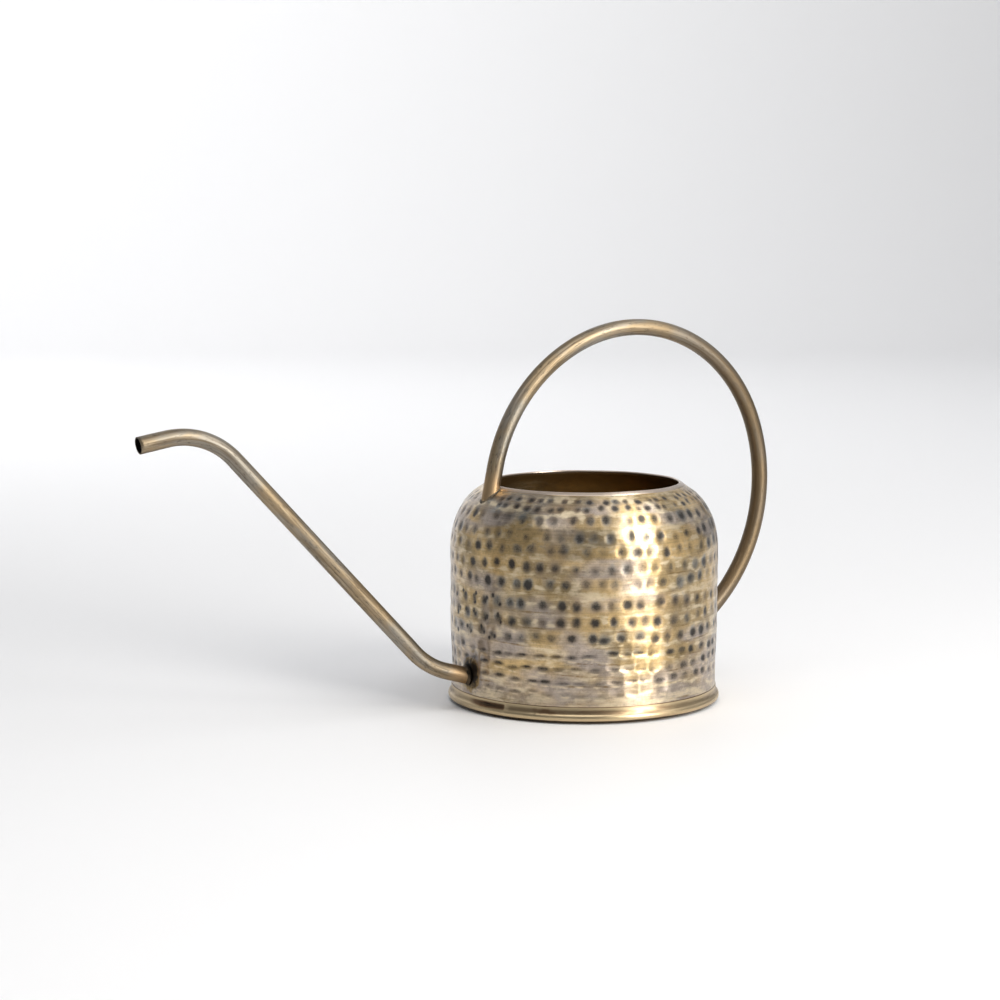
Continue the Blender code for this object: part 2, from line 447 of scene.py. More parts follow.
# Colours of the drawn tubes
TUBE_BRASS = (0.31, 0.235, 0.145)
TUBE_GREY = (0.27, 0.25, 0.215)
TUBE_STREAK = (0.13, 0.095, 0.06)
TUBE_RUBBED = (0.44, 0.37, 0.27)
TUBE_PIT = (0.07, 0.055, 0.04)
TUBE_DARKER = (0.15, 0.105, 0.06)
TUBE_WARM = (0.46, 0.31, 0.17)
# TUBE_BORE is painted shade: the inside of the tube coloured near black
TUBE_BORE = (0.012, 0.010, 0.008)

# Colours of the other metals: clean brass and brass darkened by stains, patina and painted shade; dark and
# light braze
FOOT_BRASS = ((0.56, 0.44, 0.27), (0.17, 0.105, 0.06))
BASE_BRASS = ((0.36, 0.27, 0.15), (0.18, 0.14, 0.09))
SOOTY_BRAZE = ((0.022, 0.018, 0.014), (0.085, 0.062, 0.038))
FILED_BRAZE = ((0.10, 0.085, 0.065), (0.33, 0.26, 0.17))
SOFT_SOLDER = ((0.25, 0.245, 0.235), (0.42, 0.41, 0.40))

# What the body's mesh stores at each vertex, and what a plain place has
PLAIN = dict.fromkeys(("dent", "core", "wear_and_highlight", "scorch", "inside", "lip", "border"), 0.0)
PLAIN |= dict.fromkeys(("gold_stain", "grey_stain_and_reflection", "dark_stain"), 0.5)


def hammered_brass():
    """Antiqued sheet: gold rubbed bright between dents, grey patina round them and soot in their floors."""
    material, tree, shader = new_metal("hammered_brass")
    where = add(tree, "TexCoord").outputs["Object"]
    clouds = noise(tree, where, (38, 38, 70), detail=4)
    blotches = noise(tree, where, (110, 110, 110), detail=5, distortion=0.6)
    ragged = noise(tree, where, (420, 420, 420), detail=3)
    grains = noise(tree, where, (1300, 1300, 1300), detail=2)
    turning = noise(tree, where, (25, 25, 3200), detail=2, roughness=0.7)
    streaks = noise(tree, where, (70, 70, 330), detail=4, distortion=0.3)
    painted = {key: stored(tree, key)["Fac"] for key in PLAIN}

    def spotted(value, amount, texture):
        """A value made uneven by a texture."""
        return maths(tree, "ADD", value, times(tree, maths(tree, "SUBTRACT", texture, 0.5), amount))

    def layer(below, amount, above):
        return mix(tree, amount, below, above)

    # Clean metal: gold, olive and rose stains; the rose on the sides is a painted reflection of the pale room
    colour = layer(GOLD, fade(tree, spotted(painted["gold_stain"], 1.0, clouds), 0.35, 0.80), OLIVE)
    colour = layer(colour, fade(tree, spotted(painted["grey_stain_and_reflection"], 1.1, clouds), 0.45, 0.95, 0, 0.8), ROSE)
    # Patina round the dents, and brown stains along the borders of the rows
    patina = maths(tree, "ADD", times(tree, painted["dark_stain"], 0.6), painted["dent"])
    patina = fade(tree, spotted(spotted(patina, 1.1, blotches), 0.5, ragged), 0.30, 1.30, 0, 0.95)
    colour = layer(colour, patina, mix(tree, fade(tree, clouds, 0.42, 0.60), SLATE, UMBER))
    stain = times(tree, painted["border"], painted["gold_stain"])
    stain = fade(tree, spotted(spotted(stain, 1.5, blotches), 1.2, ragged), 0.45, 0.95, 0, 0.8)
    colour = layer(colour, stain, TEA)
    tone = fade(tree, turning, 0.30, 0.70, 0.86, 1.10)
    tone = spotted(spotted(spotted(tone, 0.5, grains), 0.7, ragged), 1.0, blotches)
    colour = shaded(tree, colour, tone)
    # Painted highlights, with some rubbed wear, on the edges under the dents; worn streaks between them; and
    # soot in their floors
    soot = fade(tree, spotted(spotted(painted["core"], 0.75, ragged), 0.5, grains), 0.04, 0.76, 0, 0.97)
    colour_patch = fade(tree, spotted(painted["wear_and_highlight"], 0.7, ragged), 0.15, 0.95, 0, 0.8)
    colour = layer(colour, colour_patch, WEAR_AND_HIGHLIGHT)
    raised = maths(tree, "SUBTRACT", 1.0, maths(tree, "ADD", painted["dent"], painted["core"]))
    bright = fade(tree, spotted(spotted(raised, 2.4, streaks), 0.5, ragged), 0.80, 1.5, 0, 0.8)
    colour = layer(colour, bright, WEAR_AND_HIGHLIGHT)
    colour = layer(colour, soot, SOOT)
    colour = layer(colour, times(tree, painted["lip"], 0.8), LIP)
    colour = layer(colour, painted["inside"], BROWN)
    # Heat tints and burnt flux at the joints
    heat = spotted(spotted(painted["scorch"], 1.3, blotches), 0.5, ragged)
    colour = layer(colour, fade(tree, heat, 0.15, 0.60, 0, 0.75), HEAT_BLUE)
    colour = layer(colour, fade(tree, spotted(heat, 1.2, clouds), 0.35, 0.70, 0, 0.8), HEAT_GOLD)
    burnt = fade(tree, heat, 0.36, 0.88)
    colour = layer(colour, burnt, BURNT_AND_SHADOW)

    rough = maths(tree, "ADD", fade(tree, clouds, 0.3, 0.7, 0.32, 0.43), times(tree, soot, 0.12))
    rough = maths(tree, "ADD", rough, times(tree, burnt, 0.2))
    shader.inputs["Coat Weight"].default_value = 0.2
    shader.inputs["Coat Roughness"].default_value = 0.25
    shader.inputs["Anisotropic"].default_value = 0.7
    shader.inputs["Anisotropic Rotation"].default_value = 0.25
    tangent = add(tree, "Tangent", direction_type="RADIAL", axis="Z")
    link(tree, tangent.outputs[0], shader.inputs["Tangent"])

    fine = maths(tree, "ADD", times(tree, turning, 0.3), times(tree, ragged, 0.8))
    surface(tree, shader, colour, rough, fine, 0.35, 0.15 * MM)
    return material


def smooth_brass(name, colours):
    """Spun or drawn brass for the foot and the base: polished, with stains, and with patina and painted shade
    where the foot's mesh asks for them, blackest as a painted shadow.
    """
    gold, stain_and_shade = colours
    material, tree, shader = new_metal(name)
    where = add(tree, "TexCoord").outputs["Object"]
    stains = noise(tree, where, (45, 45, 200), detail=5, distortion=0.4)
    turning = noise(tree, where, (20, 20, 4000), detail=2, roughness=0.7)
    hollow = stored(tree, "hollow")["Fac"]
    # Stains, and the mesh's patina and painted shade
    amount = maths(tree, "ADD", fade(tree, stains, 0.40, 0.75, 0, 0.4), hollow)
    colour = mix(tree, fade(tree, amount, 0.1, 0.9), gold, stain_and_shade)
    # Painted black shadow under the bead and along the top edge
    colour = mix(tree, fade(tree, amount, 0.95, 1.35), colour, BURNT_AND_SHADOW)
    colour = shaded(tree, colour, fade(tree, turning, 0.3, 0.7, 0.88, 1.08))
    surface(tree, shader, colour, fade(tree, stains, 0.3, 0.7, 0.28, 0.40), stains, 0.25, 0.1 * MM)
    return material


def tube_brass():
    """Drawn tube: long rub marks, brown and grey patina in streaks, and a warm polished stretch at joints."""
    material, tree, shader = new_metal("tube_brass")
    along = stored(tree, "tube_coord")["Vector"]
    warm = stored(tree, "polish")["Fac"]
    bore = stored(tree, "bore")["Fac"]
    streaks = noise(tree, along, (16, 520, 520), detail=4, roughness=0.6)
    clouds = noise(tree, along, (30, 90, 90), detail=4)
    rubs = noise(tree, along, (60, 1500, 1500), detail=3)
    pits = noise(tree, along, (240, 700, 700), detail=4, roughness=0.7)
    darkening = times(tree, stored(tree, "darkening")["Fac"], 0.75)
    colour = mix(tree, fade(tree, clouds, 0.42, 0.62), TUBE_BRASS, TUBE_GREY)
    colour = mix(tree, fade(tree, streaks, 0.44, 0.66, 0, 0.8), colour, TUBE_STREAK)
    colour = mix(tree, fade(tree, rubs, 0.50, 0.72, 0, 0.55), colour, TUBE_RUBBED)
    colour = mix(tree, fade(tree, pits, 0.54, 0.70, 0, 0.75), colour, TUBE_PIT)
    # Darker towards the far end of the tube
    colour = mix(tree, darkening, colour, TUBE_DARKER)
    colour = mix(tree, times(tree, warm, 0.8), colour, TUBE_WARM)
    # Painted shade: the bore goes near black
    colour = mix(tree, bore, colour, TUBE_BORE)
    rough = fade(tree, streaks, 0.3, 0.7, 0.40, 0.56)
    rough = maths(tree, "SUBTRACT", rough, times(tree, warm, 0.08))
    rough = maths(tree, "ADD", rough, times(tree, bore, 0.4))
    wear_and_highlight = maths(tree, "SUBTRACT", rubs, times(tree, pits, 1.5))
    surface(tree, shader, colour, rough, wear_and_highlight, 0.3, 0.12 * MM)
    return material


def braze_metal(name, colours):
    """Braze or solder as it froze: dull and dark, with a few bright spots."""
    dark, light = colours
    material, tree, shader = new_metal(name)
    where = add(tree, "TexCoord").outputs["Object"]
    lumps = noise(tree, where, (420, 420, 420), detail=4, distortion=0.5)
    patches = noise(tree, where, (150, 150, 150), detail=3)
    colour = mix(tree, fade(tree, patches, 0.50, 0.68), dark, light)
    surface(tree, shader, colour, fade(tree, patches, 0.45, 0.7, 0.58, 0.30), lumps, 0.6, 0.4 * MM)
    return material


# Body


def joint_distances(angle, along, joints):
    """Distance over the sheet from each place of a grid to the nearest joint, at (angle, along)."""
    nearest = np.full((len(along), len(angle)), 1.0)
    for joint_angle, joint_along in joints:
        across = signed_turn(angle - joint_angle)[None, :] * float(on_sheet(joint_along)[0])
        nearest = np.minimum(nearest, np.hypot(across, along[:, None] - joint_along))
    return nearest


def dents(draw):
    """Every hammer blow: angle, along, half width, reach up, reach down, depth, darkness. Lengths in mm."""
    blows = []
    for row in ROW_HEIGHTS:
        radius = float(on_sheet(row * MM)[0]) / MM
        at_top = row > TOP_ROWS
        count = round(2 * math.pi * radius / (TOP_PITCH if at_top else BLOW_PITCH))
        faint = FAINT if row < FAINT_BELOW else 1.0
        pecked = PECK_ROWS[0] < row < PECK_ROWS[1]
        start = draw.uniform(0, 2 * math.pi)
        waves = [(k, draw.uniform(0, 2 * math.pi)) for k in (2, 3, 5)]
        for i in range(count):
            angle = start + 2 * math.pi * i / count + draw.normal(0, 0.9) / radius
            sway = sum(math.sin(k * angle + phase) for k, phase in waves) * 0.35
            along = row + sway + draw.normal(0, 0.4)
            scallop = float(smooth_step(SCALLOP_TOP - row, 0, 10))
            scallop *= float(smooth_step(math.cos(angle - FACING + SCALLOP_TURN), 0.5, 0.9)) * 0.6 + 0.4
            sizes = (
                draw.uniform(*BLOW_WIDTH) + SCALLOP_WIDER * scallop,
                draw.uniform(*BLOW_UP) + SCALLOP_TALLER * scallop,
                draw.uniform(*BLOW_DOWN) - SCALLOP_SHORTER * scallop,
                draw.uniform(*BLOW_DEPTH) * faint + SCALLOP_DEEPER * scallop,
            )
            if at_top:
                sizes = [size * factor for size, factor in zip(sizes, TOP_FACTORS)]
            dark = draw.uniform(*BLOW_DARK) * faint * (0.85 + 0.15 * math.sin(2 * angle + row * 0.1))
            blows.append((angle, along, *sizes, dark))
            if pecked and math.cos(angle - FACING + PECK_TURN) > PECK_LIMIT:
                for _ in range(PECKS_EACH):
                    again = (angle + draw.normal(0, 2.2) / radius, along + draw.normal(0, 2.0))
                    width, depth = draw.uniform(*PECK_WIDTH), draw.uniform(*PECK_DEPTH)
                    blows.append((*again, width, PECK_REACH, PECK_REACH, depth, 1.0))
    return blows


def hammer(angle, along, blows):
    """How far in the surface is at each place of a grid, and its dent, core and wear-and-highlight values:
    the last is a painted highlight with some wear.
    """
    depth = np.zeros((len(along), len(angle)))
    dent = np.zeros_like(depth)
    core = np.zeros_like(depth)
    wear_and_highlight = np.zeros_like(depth)
    spacing = 2 * math.pi / len(angle)
    rows_mm = along / MM
    radii = on_sheet(along)[0] / MM
    for centre, height, width, up, down, deep, dark in blows:
        low, high = np.searchsorted(rows_mm, (height - down * HALO - 1.5, height + up * HALO))
        if high <= low:
            continue
        reach = int(width * HALO / radii[low:high].min() / spacing) + 2
        middle = round(centre / spacing)
        columns = np.arange(middle - reach, middle + reach + 1)
        across = (columns * spacing - centre)[None, :] * radii[low:high, None]
        above = (rows_mm[low:high] - height)[:, None]
        rise = np.where(above > 0, above / up, above / down)
        far = (across / width) ** 2 + rise**2
        cap = np.clip(1 - far, 0, 1) ** 1.35
        spot = np.ix_(np.arange(low, high), columns % len(angle))
        depth[spot] = np.maximum(depth[spot], deep * cap)
        halo = 0.75 * min(1.0, dark * down / 3) * np.clip(1 - far / HALO**2, 0, 1) ** 1.5
        dent[spot] = np.maximum(dent[spot], halo)
        # A painted highlight with some rubbed wear: a bright edge, curved up at its ends, just under the
        # blow, where the light catches its lower rim
        smile = above + 1.05 * down + 0.6 - 0.7 * (across / width) ** 2 + 0.12 * across
        crescent = np.exp(-((across / (0.62 * width)) ** 4) - (smile / 0.6) ** 2)
        crescent = crescent * np.clip(up / down - 1.0, 0.5, 0.8) * min(1, deep / 0.4)
        wear_and_highlight[spot] = np.maximum(wear_and_highlight[spot], crescent)
        floor = (across / width) ** 2 + (above / (0.95 * down)) ** 2
        core[spot] = np.maximum(core[spot], dark * np.clip(1 - floor, 0, 1) ** 1.4)
    return depth * MM, dent, core, wear_and_highlight


def row_bands(draw, angle, along):
    """The bands that the rows of blows leave: each place's band, and 0 to 1 from its low edge to its high."""
    edges = [(low + high) / 2 for low, high in zip(ROW_HEIGHTS, ROW_HEIGHTS[1:])]
    sways = [0.5 * ripple(draw, angle, 0 * angle, 4, (2, 6), 0) for _ in edges]
    borders = np.array([edge + sway for edge, sway in zip(edges, sways)])
    lowest, highest = (np.full_like(angle, limit) for limit in BAND_LIMITS)
    borders = np.vstack((lowest, borders, highest))
    height = (along / MM)[:, None]
    number = np.clip((height[:, :, None] > borders.T[None, :, :]).sum(axis=2) - 1, 0, len(borders) - 2)
    columns = np.arange(len(angle))[None, :]
    low, high = borders[number, columns], borders[number + 1, columns]
    return number, np.clip((height - low) / (high - low), 0, 1)


def band_tints(draw, angle, along, number, part):
    """Gold, grey and dark stains, 0 to 1, that change from band to band and along each band, and the border.
    The grey also holds a painted reflection of the pale room on the sides.

    The stains blend from one band to the next round their border, which is 1 on the border itself.
    """
    bands = number.max() + 1
    columns = np.arange(len(angle))[None, :]
    place_in = number + part - 0.5
    below = np.clip(np.floor(place_in), 0, bands - 2).astype(int)
    blend = smooth_step(place_in - below, 0.30, 0.70)
    stains = []
    for _ in range(3):
        strips = np.array([ripple(draw, angle, 0 * angle, 6, (1, 14), 0) for _ in range(bands)])
        strip = strips[below, columns] * (1 - blend) + strips[below + 1, columns] * blend
        cloud = ripple(draw, angle[None, :], along[:, None], 10, (0, 9), 35)
        stains.append(smooth_step(0.45 * strip + 0.8 * cloud, -1.6, 1.6))
    gold, grey, dark = stains

    around = np.degrees(signed_turn(angle - FACING))[None, :]
    height = (along / MM)[:, None]
    # Painted reflection: the sides, as the camera sees them, are greyed as if they mirrored the pale room
    sides = smooth_step(np.abs(around), *GREY_SIDES)
    foot = 1 - smooth_step(height, *GREY_FOOT)
    grey = np.maximum(grey * 0.9, np.clip(0.80 * sides + 0.75 * foot, 0, 0.85))
    # An olive patch, darker than the gold, right of the camera's side, fading out above and below
    colour_patch = np.exp(-(((around - OLIVE_PATCH_CENTRE) / OLIVE_PATCH_WIDTH) ** 2))
    colour_patch = colour_patch * (1 - smooth_step(height, *OLIVE_PATCH_END)) * smooth_step(height, *OLIVE_PATCH_START)
    gold = np.maximum(gold, 0.9 * colour_patch)
    smear = smooth_step(height, *SMEAR_START)
    smear = smear * smooth_step(-around, *SMEAR_RIGHT) * (1 - smooth_step(-around, *SMEAR_LEFT))
    dark = np.maximum(dark * (1 - 0.6 * foot), 1.5 * smear)
    border = smooth_step(np.abs(2 * part - 1), 0.72, 1.0)
    return (gold, grey, dark), border


def unevenness(draw, angle, along, part):
    """How far in the sheet is between the blows: a shallow trough to each band, and slow waves."""
    turn, height = angle[None, :], along[:, None]
    strength = smooth_step(ripple(draw, turn, height, 8, (2, 9), 20), -1.2, 1.2)
    total = TROUGH * strength * np.sin(math.pi * part) ** 1.6
    total = total + SWELL * (1 + ripple(draw, turn, height, 14, (5, 24), 50) / 2.2)
    return np.clip(total, 0.02, None) * MM


def scorch_marks(angle, along, joints):
    """How burnt the sheet is: black beside the spout, a tint above it, a touch round the handle's ends."""
    spout_angle, spout_along = joints[0]
    burn_place = (spout_angle + BURN_SHIFT[0] / WALL_RADIUS, spout_along + BURN_SHIFT[1])
    burn_far = joint_distances(angle, along, [burn_place])
    tint_across = signed_turn(angle - spout_angle)[None, :] * WALL_RADIUS / MM - TINT_SHIFT[0]
    tint_up = (along[:, None] - spout_along) / MM - TINT_SHIFT[1]
    tint = np.exp(-((tint_across / TINT_SIZE[0]) ** 2) - (tint_up / TINT_SIZE[1]) ** 2)
    handle_far = joint_distances(angle, along, joints[1:])
    scorch = np.maximum(1 - smooth_step(burn_far, *BURN_FADE), TINT_STRENGTH * tint)
    return np.maximum(scorch, HANDLE_BURN * (1 - smooth_step(handle_far, *HANDLE_FADE)))


def hammered_body(joints):
    """The sheet with its dents outside and their backs inside, and a smooth rolled hem."""
    draw = np.random.default_rng(7)
    angle = full_turn(COLUMNS)
    hem_start = SHEET_END - HEM_WIDTH
    lower = np.linspace(WALL_FOOT, SCALLOP_TOP * MM, LOWER_ROWS, endpoint=False)
    upper = np.linspace(SCALLOP_TOP * MM, hem_start - 0.25 * MM, UPPER_ROWS)
    along = np.concatenate((lower, upper))
    depth, dent, core, wear_and_highlight = hammer(angle, along, dents(draw))
    number, part = row_bands(draw, angle, along)
    (gold, grey, dark), border = band_tints(draw, angle, along, number, part)
    waves = unevenness(draw, angle, along, part)
    scorch = scorch_marks(angle, along, joints)
    calm = smooth_step(joint_distances(angle, along, joints), *CALM_JOINT)
    calm = calm * smooth_step(along, *CALM_FOOT)[:, None]
    edge = smooth_step(hem_start - along, *CALM_HEM)[:, None]
    neck = 1 - smooth_step(along, *NECK_HEIGHTS)
    inward = (depth + waves) * calm * edge + (SKIN + NECK * neck)[:, None]
    dent, core, wear_and_highlight, border = (value * calm * edge for value in (dent, core, wear_and_highlight, border))

    rings, layers = [], []

    def ring(columns, radius, height, out_across, out_up, inwards, **values):
        """Adds a ring that lies inwards of the sheet's outer face, and what is painted on it."""
        radius = radius - inwards * out_across
        turn = angle[:: COLUMNS // columns]
        up = np.broadcast_to(height - inwards * out_up, turn.shape)
        rings.append(np.stack((radius * np.cos(turn), radius * np.sin(turn), up), axis=1))
        painted = dict(PLAIN, **values)
        layers.append({key: np.broadcast_to(value, turn.shape) for key, value in painted.items()})

    for i, s in enumerate(along):
        marks = {"dent": dent[i], "core": core[i], "wear_and_highlight": wear_and_highlight[i], "scorch": scorch[i]}
        tints = {"gold_stain": gold[i], "grey_stain_and_reflection": grey[i], "dark_stain": dark[i], "border": border[i]}
        ring(COLUMNS, *on_sheet(s), inward[i], **marks, **tints)

    # The hem stands a little proud, and its edge is round
    wave = ripple(draw, angle, 0 * angle, 5, (2, 9), 0) * 0.05 * MM
    ring(COLUMNS, *on_sheet(hem_start), 0.1 * MM)
    for t in (0.08, HEM_ROUNDING, 0.6, 1.0):
        rise = HEM_PROUD * math.sqrt(min(1, t / HEM_ROUNDING))
        ring(COLUMNS, *on_sheet(hem_start + t * HEM_WIDTH), HEM_INSET + wave - rise, lip=1.0)
    radius, height, out_across, out_up = (float(value) for value in on_sheet(SHEET_END))
    thick = (SHEET + HEM_PROUD) / 2
    for i in range(1, HEM_TURNS):
        turn = math.pi * i / HEM_TURNS
        ahead = thick * math.sin(turn) * 0.9
        deep = thick * (1 - math.cos(turn)) - HEM_PROUD + HEM_INSET + wave
        ring(COLUMNS, radius - ahead * out_up, height + ahead * out_across, out_across, out_up, deep, lip=1.0)

    # The inside has half the columns, and a painted pool of light on its wall under the mouth, where less
    # brown is laid
    light_pool_turn = signed_turn(angle[::2] - CAMERA_HEADING - LIGHT_POOL_TURN)
    light_pool = np.exp(-((light_pool_turn / LIGHT_POOL_WIDTH) ** 2))
    for s in np.linspace(SHEET_END, WALL_FOOT, INNER_ROWS):
        row = int(np.clip(np.searchsorted(along, s), 0, len(along) - 1))
        back = inward[row, ::2] * float(smooth_step(hem_start - s, -1 * MM, 2 * MM))
        brown = float(smooth_step(SHEET_END - s, 0, 1.5 * MM))
        # Painted light: the inside is less brown where light would fall on it
        colour_patch = 0.8 * light_pool * float(smooth_step(SHEET_END - s, 5 * MM, 10 * MM))
        ring(COLUMNS // 2, *on_sheet(s), SHEET + back, inside=brown * (1 - colour_patch), lip=1 - brown)
    body = ring_mesh("hammered_body", rings)
    for key in PLAIN:
        paint(body, key, np.concatenate([layer[key] for layer in layers]))
    return body


def cut_hole(obj, path, radius):
    """Cuts the hole a tube passes through."""
    cutter = sweep("hole", path, [radius], 32, capped=True)
    boolean = obj.modifiers.new("hole", "BOOLEAN")
    boolean.operation = "DIFFERENCE"
    boolean.solver = "EXACT"
    boolean.object = cutter
    bpy.context.view_layer.update()
    mesh = bpy.data.meshes.new_from_object(obj.evaluated_get(bpy.context.evaluated_depsgraph_get()))
    obj.modifiers.clear()
    obj.data = mesh
    mesh.shade_smooth()
    bpy.data.objects.remove(cutter, do_unlink=True)


# Tubes


def sweep(name, path, skins, sides, capped=False, trim=None):
    """A tube along a path in the plane of X and Z. skins are its radii, from the outer to the inner.

    trim(point, ahead, at_start) moves the points of the first and last rings onto the piece that they meet.
    """
    turn = full_turn(sides)
    rings, coords, bore = [], [], []
    distance = lengths(path)
    for number, radius in enumerate(skins):
        order = range(len(path)) if number == 0 else range(len(path) - 1, -1, -1)
        for i in order:
            across, up, heading, bend = path[i]
            squeeze = 1 - FLATTENING * abs(bend)
            ring = np.zeros((sides, 3))
            ring[:, 0] = across - math.sin(heading) * radius * squeeze * np.cos(turn)
            ring[:, 2] = up + math.cos(heading) * radius * squeeze * np.cos(turn)
            ring[:, 1] = radius * np.sin(turn)
            if trim and i in (0, len(path) - 1):
                ahead = Vector((math.cos(heading), 0, math.sin(heading)))
                ring = np.array([tuple(trim(Vector(point), ahead, i == 0)) for point in ring])
            rings.append(ring)
            place_on = (np.full(sides, distance[i]), radius * np.cos(turn), radius * np.sin(turn))
            coords.append(np.stack(place_on, axis=1))
            bore.append(np.full(sides, float(number)))
    obj = ring_mesh(name, rings, closed=len(skins) > 1, capped=capped)
    paint(obj, "tube_coord", np.concatenate(coords))
    paint(obj, "bore", np.concatenate(bore))
    return obj


def near_start(obj, length):
    """1 at the start of a tube, fading to 0 over the second half of a length along it."""
    coords = np.zeros(len(obj.data.vertices) * 3, np.float32)
    obj.data.attributes["tube_coord"].data.foreach_get("vector", coords)
    return 1 - smooth_step(coords[::3], length / 2, length)


def tube(name, node, path, polished, darkening, material, trim=None):
    """A drawn tube, polished over a length from its start. darkening is the length after which it grows
    darker, and how much.
    """
    obj = sweep(name, path, TUBE_SKINS, TUBE_SIDES, trim=trim)
    paint(obj, "polish", near_start(obj, polished))
    paint(obj, "darkening", darkening[1] * (1 - near_start(obj, darkening[0])))
    return place(obj, [node], material)


def eased(path, length):
    """The path with its bend eased in and out over a length, for the squeeze of the section."""
    distance = lengths(path)
    window = np.abs(distance[:, None] - distance[None, :]) < length / 2
    path = path.copy()
    path[:, 3] = (window * path[None, :, 3]).sum(axis=1) / window.sum(axis=1)
    return path


def meet_body(point, ahead, at_start):
    """The point moved along the tube's axis until it lies on the body, less than 25 mm away."""
    direction = -ahead if at_start else ahead
    low, high = -25 * MM, 25 * MM
    for _ in range(30):
        middle = (low + high) / 2
        gap = body_gap(point + direction * middle)[0]
        if gap > 0:
            low = middle
        else:
            high = middle
    return point + direction * low


def meeting(path, index):
    """Where a tube's centre line, near one of its points, meets the body: (angle, along the sheet)."""
    across, up, heading, _ = path[index]
    ahead = Vector((math.cos(heading), 0, math.sin(heading)))
    point = meet_body(Vector((across, 0, up)), ahead, index == 0)
    return math.atan2(point.y, point.x), body_gap(point)[1]


def curve(start, pull, end, steps):
    """Points on a curve that leaves start and reaches end along the lines to pull, both ends included."""
    parts = [i / steps for i in range(steps + 1)]
    return [start * (1 - t) ** 2 + pull * 2 * t * (1 - t) + end * t * t for t in parts]


def fillet(name, path, index, sizes, lumps, lean, seed):
    """A ring of braze between a tube and the body. sizes are its spread over the body and rise up the tube.

    lumps is how uneven it is. lean is the turn round the tube where it is heaviest, and by how much.
    """
    draw = np.random.default_rng(seed)
    spread, rise = sizes
    across, up, heading, _ = path[index]
    at_start = index < len(path) - 1
    ahead = Vector((math.cos(heading), 0, math.sin(heading)))
    outward = ahead if at_start else -ahead
    side = Vector((-math.sin(heading), 0, math.cos(heading)))
    centre = meet_body(Vector((across, 0, up)), ahead, at_start)
    turns = full_turn(FILLET_TURNS)
    heavy = lean[1] * np.cos(turns - lean[0])
    swells, lifts = (ripple(draw, turns, 0 * turns, 6, (2, 6), 0) * lumps + heavy for _ in range(2))
    sections = []
    for turn, swell, lift in zip(turns, swells, lifts):
        out = side * math.cos(turn) + Vector((0, 1, 0)) * math.sin(turn)
        corner = meet_body(centre + out * TUBE_RADIUS * 0.985, ahead, at_start)
        normal = body_gap(corner)[2]
        flat = (out - normal * out.dot(normal)).normalized()
        foot = corner + flat * spread * max(0.3, 1 + swell)
        foot_gap, _, foot_normal = body_gap(foot)
        foot -= foot_normal * (foot_gap + 0.12 * MM)
        crown = corner + outward * rise * max(0.35, 1 + lift)
        hollow = corner + (flat * spread + outward * rise) * 0.12
        points = curve(foot, hollow, crown, FILLET_STEPS)
        # The back of the braze, hidden in the tube and the sheet
        points.append(crown - out * 0.5 * MM)
        points.append(corner - out * 0.5 * MM - normal * 0.4 * MM)
        points.append(foot - normal * 0.3 * MM)
        sections.append(points)
    return ring_mesh(name, [np.array([tuple(point) for point in ring]) for ring in zip(*sections)])


# Foot and base


def foot_profile():
    """The moulded strip: a thin edge against the wall, a flare that hollows, and a round bead below."""
    inside = WALL_RADIUS - NECK + 0.05 * MM
    edge = (WALL_RADIUS - EDGE_INSET, FOOT_TOP - EDGE_RADIUS)
    points = [(x, z) for x, z, _ in arc_points(edge, EDGE_RADIUS, math.pi * 0.55, 0, 0.08 * MM)]
    bead = []
    for i in range(BEAD_STEPS + 1):
        a = math.radians(BEAD_FROM - BEAD_TURN * i / BEAD_STEPS)
        across = FOOT_RADIUS - BEAD_DEEP + BEAD_DEEP * math.cos(a)
        bead.append((across, BEAD_HEIGHT + BEAD_TALL * math.sin(a)))
    start, end = np.array(points[-1]), np.array(bead[0]) + (-0.05 * MM, 0.06 * MM)
    pull = np.array((start[0] + 0.22 * MM, end[1] + 1.0 * MM))
    points += [tuple(point) for point in curve(start, pull, end, FLARE_STEPS)[1:]]
    return [(inside, FOOT_TOP - 0.1 * MM), *points, *bead, (inside, bead[-1][1])]


def lap(angle, across, up):
    """The strip's end, hammered down over its other end, and the strip's slight waviness."""
    turn = signed_turn(angle - LAP_ANGLE)
    over = smooth_step(turn, -0.006, 0.006) * (1 - smooth_step(turn, 0.4 * LAP_WIDTH, LAP_WIDTH))
    under = LAP_STEP * (over - 1) * (np.abs(turn) < 2 * LAP_WIDTH)
    nick = LAP_NICK * np.exp(-((turn / 0.018) ** 2))
    wave = 0.05 * MM * (np.sin(5 * angle + 1.0) + np.sin(11 * angle + 2.0)) / 2
    outer = float(across > WALL_RADIUS - NECK)
    return outer * (wave - 0.30 * MM + under + nick)


